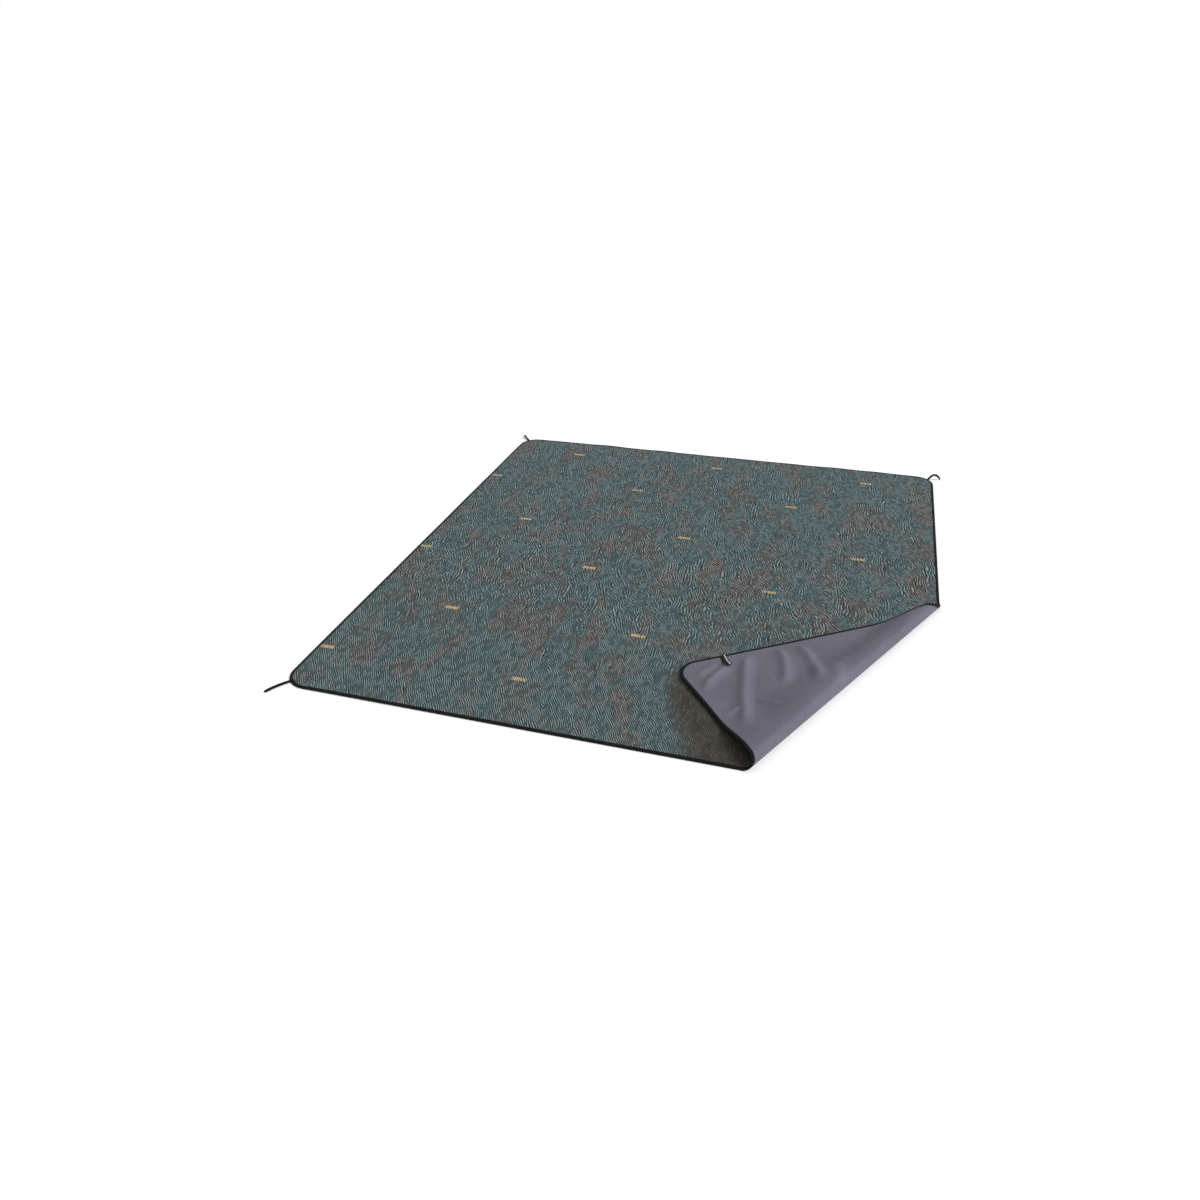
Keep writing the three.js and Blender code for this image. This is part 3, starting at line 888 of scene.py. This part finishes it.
def make_fleece():
    sheet = flat_slab("flat_fleece", SHEET_LOW, SHEET_HIGH, PILE_PARTS, fleece_top, level(PADDING_TOP))
    make_layer("fleece", sheet, fleece_material(), "top_fleece", store_pile)


def make_padding():
    sheet = flat_slab("flat_padding", SHEET_LOW, SHEET_HIGH, (1, 1), level(PADDING_TOP), level(BACKING_TOP))
    make_layer("padding_sheet", sheet, padding_material(), "padding")


def make_backing():
    faces = (backing_bottom, level(BACKING_TOP))
    wide = flat_slab("flat_backing", SHEET_LOW, SHEET_HIGH, (1, 1), *faces)
    corner = flat_slab("flat_backing_corner", CORNER_LOW, CORNER_HIGH, CREASE_PARTS, *faces)
    material = backing_material()
    for part, suffix in PART_SUFFIX.items():
        sheet, shape = (wide, None) if part == "main" else (corner, crease)
        nodes = nodes_of("backing", part)
        cloth_piece("backing_sheet" + suffix, cut_part(sheet, part), part, material, nodes, shape)


def make_binding():
    tape = flat_binding()
    rolled = [f"edge_binding_{band}_{side}" for band in ("fold", "corner") for side in ("front", "side")]
    nodes = {"main": ["edge_binding"], "fold": rolled, "tip": ["edge_binding_tip"]}
    material = binding_material()
    thread = thread_material()
    for part, suffix in PART_SUFFIX.items():
        cloth_piece("binding_tape" + suffix, cut_part(tape, part), part, material, nodes[part])
        stitches = flat_stitches(lambda point: part_of(point) == part)
        cloth_piece("binding_stitches" + suffix, stitches, part, thread, [])


# ---- Loops ----

CORD_RADIUS = 2.6 * MM
CORD_STEP = 0.7 * MM
LOOP_LENGTH = 80 * MM
ROOT_SPREAD = 2.7 * MM
WIDEST_SPREAD = 3.0 * MM
SEWN_IN = 9 * MM


def smooth_path(points, spacing):
    """Even samples along a smooth curve through the points."""
    points = np.array(points)
    padded = np.vstack((2 * points[0] - points[1], points, 2 * points[-1] - points[-2]))
    samples = []
    for index in range(len(points) - 1):
        before, start, end, after = padded[index:index + 4]
        for share in np.linspace(0, 1, 12, endpoint=False):
            samples.append(0.5 * (
                2 * start + (end - before) * share
                + (2 * before - 5 * start + 4 * end - after) * share ** 2
                + (3 * start - before - 3 * end + after) * share ** 3
            ))
    samples = np.array(samples + [points[-1]])
    steps = np.linalg.norm(np.diff(samples, axis=0), axis=1)
    travelled = np.concatenate(([0], np.cumsum(steps)))
    marks = np.linspace(0, travelled[-1], max(2, round(travelled[-1] / spacing)))
    return np.column_stack([np.interp(marks, travelled, samples[:, axis]) for axis in range(3)])


def tube(name, points, ring):
    """A closed tube through points that go round one ring after another, `ring` points in each."""
    index = np.arange(len(points)).reshape(-1, ring)
    around = np.roll(index, -1, 1)
    faces = np.stack((index[:-1], around[:-1], around[1:], index[1:]), -1).reshape(-1, 4).tolist()
    faces += [index[0, ::-1].tolist(), index[-1].tolist()]
    mesh = bpy.data.meshes.new(name)
    mesh.from_pydata(points, [], faces)
    return mesh


def cord_mesh(name, points):
    """A round braided cord along the points: strands cross over each other in two directions."""
    path = smooth_path(points, CORD_STEP)
    sides, strands, lay = 16, 4, 7 * MM
    forward = np.gradient(path, axis=0)
    forward /= np.linalg.norm(forward, axis=1)[:, None]
    travelled = np.arange(len(path)) * CORD_STEP
    normal = np.cross(forward[0], (0, 0, 1.0))
    rings = []
    for place, direction, distance in zip(path, forward, travelled):
        normal = normal - direction * (normal @ direction)
        normal /= np.linalg.norm(normal)
        other = np.cross(direction, normal)
        angles = np.arange(sides) / sides * 2 * math.pi
        twist = distance / lay * 2 * math.pi
        right = np.abs(np.cos(strands * (angles + twist) / 2))
        left = np.abs(np.cos(strands * (angles - twist) / 2))
        radii = CORD_RADIUS * (0.84 + 0.16 * np.maximum(right, left))
        spokes = np.cos(angles)[:, None] * normal + np.sin(angles)[:, None] * other
        rings.append(place + radii[:, None] * spokes)
    return tube(name, np.array(rings).reshape(-1, 3).tolist(), sides)


def loop_spread(out):
    """Half the distance between the two strands of a peg loop."""
    share = out / LOOP_LENGTH
    opening = ROOT_SPREAD + (WIDEST_SPREAD - ROOT_SPREAD) * min(1, max(share, 0) / 0.8)
    closing = math.sqrt(max(0, 1 - max(0, (share - 0.9) / 0.1) ** 2))
    return opening * closing


def loop_points(height_at):
    """Points out along one strand and back along the other. x runs out from the root."""
    stations = [out * MM for out in (-9, -4, 0, 8, 20, 36, 52, 64, 72, 76.5, 79.2)]
    outward = [(out, loop_spread(out), height_at(out)) for out in stations]
    inward = [(out, -spread, height) for out, spread, height in reversed(outward)]
    return outward + [(LOOP_LENGTH, 0.0, height_at(LOOP_LENGTH))] + inward


def make_lying_loop(corner, rise, sway, tilt, reach, material):
    """A peg loop that runs out from a corner, arches by `rise`, bends by `sway` and rests on the ground.
    tilt is how far its flat side is turned up, in degrees, and reach how much of its length it spans."""
    node = f"peg_loop_{corner}"
    joint = joints[f"{corner}_lift"]
    root = np.array(joint["pos_m"])
    axis = joint["axis"]
    outward = np.array((-axis[1], axis[0]))
    sideways = np.array((-outward[1], outward[0]))
    edge_middle = SHEET_TOP / 2
    ground = CORD_RADIUS

    def height_at(out):
        settled = smooth(out, 0, 30 * MM)
        arch = rise * math.sin(math.pi * min(1, max(0, out / LOOP_LENGTH)))
        return edge_middle + (ground - edge_middle) * float(settled) + arch

    points = []
    for out, spread, height in loop_points(height_at):
        turn = math.radians(tilt) * float(smooth(out, 0, 25 * MM))
        bent = spread * math.cos(turn) + sway * max(0, out / LOOP_LENGTH) ** 2
        raised = (loop_spread(out) + spread) * math.sin(turn)
        away = out * reach if out > 0 else out
        points.append((*(root[:2] + outward * away + sideways * bent), height + raised))
    mesh = cord_mesh(node, points)
    shade(mesh)
    cord = new_object(node + "_cord", mesh, material)
    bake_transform(cord)
    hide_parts(node)


def make_tucked_loop(material):
    """The fourth peg loop: it leaves the folded corner, turns back over the tape and lies on the fleece."""
    # Its root is drawn in a little, and its turn takes up this much of its length.
    root_inset, turn_length = 3 * MM, 6 * MM
    reach = (CORNER_RADIUS - root_inset) * math.sqrt(0.5)
    root = np.array((HALF_WIDTH - CORNER_RADIUS + reach, -HALF_LENGTH + CORNER_RADIUS - reach))
    outward = np.array((1, -1)) * math.sqrt(0.5)
    sideways = np.array((1, 1)) * math.sqrt(0.5)
    middle = SHEET_TOP / 2
    lying = FLEECE_GROUND + PILE_HEIGHT + CORD_RADIUS + 0.1 * MM
    turn_radius = (lying - middle) / 2
    strand = [(-SEWN_IN, ROOT_SPREAD, middle), (0.0, ROOT_SPREAD, middle)]
    for step in range(5):
        angle = -math.pi / 2 + step / 4 * math.pi
        height = middle + turn_radius + turn_radius * math.sin(angle)
        strand.append((turn_radius * math.cos(angle), ROOT_SPREAD, height))
    for back in (12, 28, 44, 58, 66, 70.5, 73.2):
        strand.append((-back * MM, loop_spread(back * MM + turn_length), lying))
    end = (turn_length - LOOP_LENGTH, 0.0, lying)
    local = strand + [end] + [(out, -spread, height) for out, spread, height in reversed(strand)]
    flat_points = [(*(root + outward * out + sideways * side), height) for out, side, height in local]
    mesh = cord_mesh("peg_loop_front_right", flat_points)
    set_coordinates(mesh, lay_down(coordinates(mesh)))
    shade(mesh)
    cord = new_object("peg_loop_front_right_cord", mesh, material)
    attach(cord, "front_right_loop")
    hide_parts("peg_loop_front_right")


SIDE_LOOP_FROM_CORNER = 171 * MM
SIDE_LOOP_LEAN = 0.27
SIDE_LOOP_LENGTH = 70 * MM
SIDE_LOOP_WIDTH = 19 * MM
SIDE_LOOP_TAPE = 8 * MM
SIDE_LOOP_THICKNESS = 2.2 * MM
SIDE_LOOP_OVERLAP = 6 * MM
SIDE_LOOP_GAP = 0.6 * MM
SIDE_LOOP_STEP = 3 * MM
# From this far out the loop rises off the cloth, so that it clears the ground when lifted over.
SIDE_LOOP_FLAT = 8 * MM
SIDE_LOOP_RISE = 0.12


def make_side_loop():
    """Flat black tape bent into a long U on the backing, its ends sewn under the edge tape, with a painted
    highlight along the top of one leg.
    """
    centre_radius = (SIDE_LOOP_WIDTH - SIDE_LOOP_TAPE) / 2
    straight = SIDE_LOOP_LENGTH - SIDE_LOOP_WIDTH / 2
    outs = np.arange(0, straight, SIDE_LOOP_STEP)
    stations = [(out, -centre_radius, 0.0) for out in outs]
    for step in range(17):
        angle = -math.pi / 2 + step / 16 * math.pi
        place = (straight + centre_radius * math.cos(angle), centre_radius * math.sin(angle))
        stations.append((*place, angle + math.pi / 2))
    stations += [(out, centre_radius, math.pi) for out in outs[::-1]]
    half, thick = SIDE_LOOP_TAPE / 2, SIDE_LOOP_THICKNESS
    lower = ((-1, 0.15), (-0.92, 0), (-0.3, 0), (0.3, 0), (0.92, 0), (1, 0.15))
    upper = ((1, 0.85), (0.92, 1), (0.3, 1.06), (0, 1.08), (-0.3, 1.06), (-0.92, 1), (-1, 0.85))
    section = [(across * half, height * thick) for across, height in lower + upper]
    points, painted_highlights = [], []
    for out, side, turn in stations:
        square = np.array((math.sin(turn), -math.cos(turn)))
        for across, height in section:
            place = np.array((out, side)) + square * across
            flat_x = HALF_WIDTH - SIDE_LOOP_OVERLAP - place[0]
            flat_y = -HALF_LENGTH + SIDE_LOOP_FROM_CORNER - place[1] - SIDE_LOOP_LEAN * place[0]
            rise = SIDE_LOOP_RISE * max(0.0, place[0] - SIDE_LOOP_FLAT)
            points.append((flat_x, flat_y, -SIDE_LOOP_GAP - height - rise))
            # A painted highlight: a pale streak on the outer face of the first leg and the first half of the
            # bend.
            inner = -0.5 * half < across < 0.1 * half
            painted_highlights.append(1.0 if inner and height > thick and side < 0 else 0.0)
    mesh = tube("side_loop_tape", points, len(section))
    flat = coordinates(mesh)
    store(mesh, "flat", "FLOAT_VECTOR", flat)
    store(mesh, "stripe", "FLOAT", painted_highlights)
    flat = crease(mesh, flat)
    set_coordinates(mesh, lay_down(flat))
    shade(mesh)
    loop = new_object("side_loop_tape", mesh, side_tape_material())
    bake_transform(loop)
    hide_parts("side_loop")


def make_loops():
    cord = cord_material()
    make_lying_loop("front_left", rise=2 * MM, sway=6 * MM, tilt=0, reach=1.0, material=cord)
    make_lying_loop("back_left", rise=3 * MM, sway=-5 * MM, tilt=40, reach=1.0, material=cord)
    make_lying_loop("back_right", rise=19 * MM, sway=-10 * MM, tilt=60, reach=0.7, material=cord)
    make_tucked_loop(cord)
    make_side_loop()


# ---- Floor, light and camera ----

CAMERA_PLACE = (0.6305, -2.9542, 1.6621)
CAMERA_TURN = math.radians(-17.08)
CAMERA_DIP = math.radians(31.27)
CAMERA_ROLL = math.radians(-0.90)
CAMERA_LENS = 26.52


def make_floor():
    shader = Shader("floor", 0.9)
    grain = shader.noise(shader.add("TexCoord", {}, output=3), 40.0, 2.0)
    shader.colour(shader.mix(grain, linear(247, 247, 247), linear(249, 249, 249)))
    mesh = bpy.data.meshes.new("floor")
    half = 40.0
    corners = [(-half, -half, 0), (half, -half, 0), (half, half, 0), (-half, half, 0)]
    mesh.from_pydata(corners, [], [(0, 1, 2, 3)])
    floor = new_object("floor", mesh, shader.material)
    floor.location.z = -0.3 * MM


def make_light():
    """An even white studio with one broad, soft key light from the right."""
    world = bpy.data.worlds.new("studio")
    world.use_nodes = True
    tree = world.node_tree
    walls = tree.nodes["Background"]
    walls.inputs["Color"].default_value = (1.0, 1.0, 1.0, 1.0)
    # The walls give this much light, but look fully white themselves.
    fill = 0.62
    seen = tree.nodes.new("ShaderNodeLightPath").outputs["Is Camera Ray"]
    strength = tree.nodes.new("ShaderNodeMapRange")
    strength.inputs["To Min"].default_value = fill
    strength.inputs["To Max"].default_value = 1.0
    tree.links.new(seen, strength.inputs["Value"])
    tree.links.new(strength.outputs["Result"], walls.inputs["Strength"])
    bpy.context.scene.world = world
    key = bpy.data.lights.new("key", "SUN")
    key.energy = 2.6
    key.angle = math.radians(25)
    lamp = bpy.data.objects.new("key", key)
    lamp.rotation_euler = Vector((-1.1, 0.1, -1.0)).to_track_quat("-Z", "Y").to_euler()
    bpy.context.scene.collection.objects.link(lamp)
    bpy.context.scene.view_settings.view_transform = "Standard"


def make_camera():
    """Unturned, the camera looks along +Y, level. It is rolled, dipped and turned, in that order."""
    roll = Matrix.Rotation(CAMERA_ROLL, 4, "Z")
    dip = Matrix.Rotation(math.pi / 2 - CAMERA_DIP, 4, "X")
    turn = Matrix.Rotation(-CAMERA_TURN, 4, "Z")
    data = bpy.data.cameras.new("camera")
    data.lens = CAMERA_LENS
    data.sensor_width = 36
    camera = bpy.data.objects.new("camera", data)
    camera.matrix_world = Matrix.Translation(CAMERA_PLACE) @ turn @ dip @ roll
    bpy.context.scene.collection.objects.link(camera)
    bpy.context.scene.camera = camera


make_fleece()
make_padding()
make_backing()
make_binding()
make_loops()
make_floor()
make_light()
make_camera()
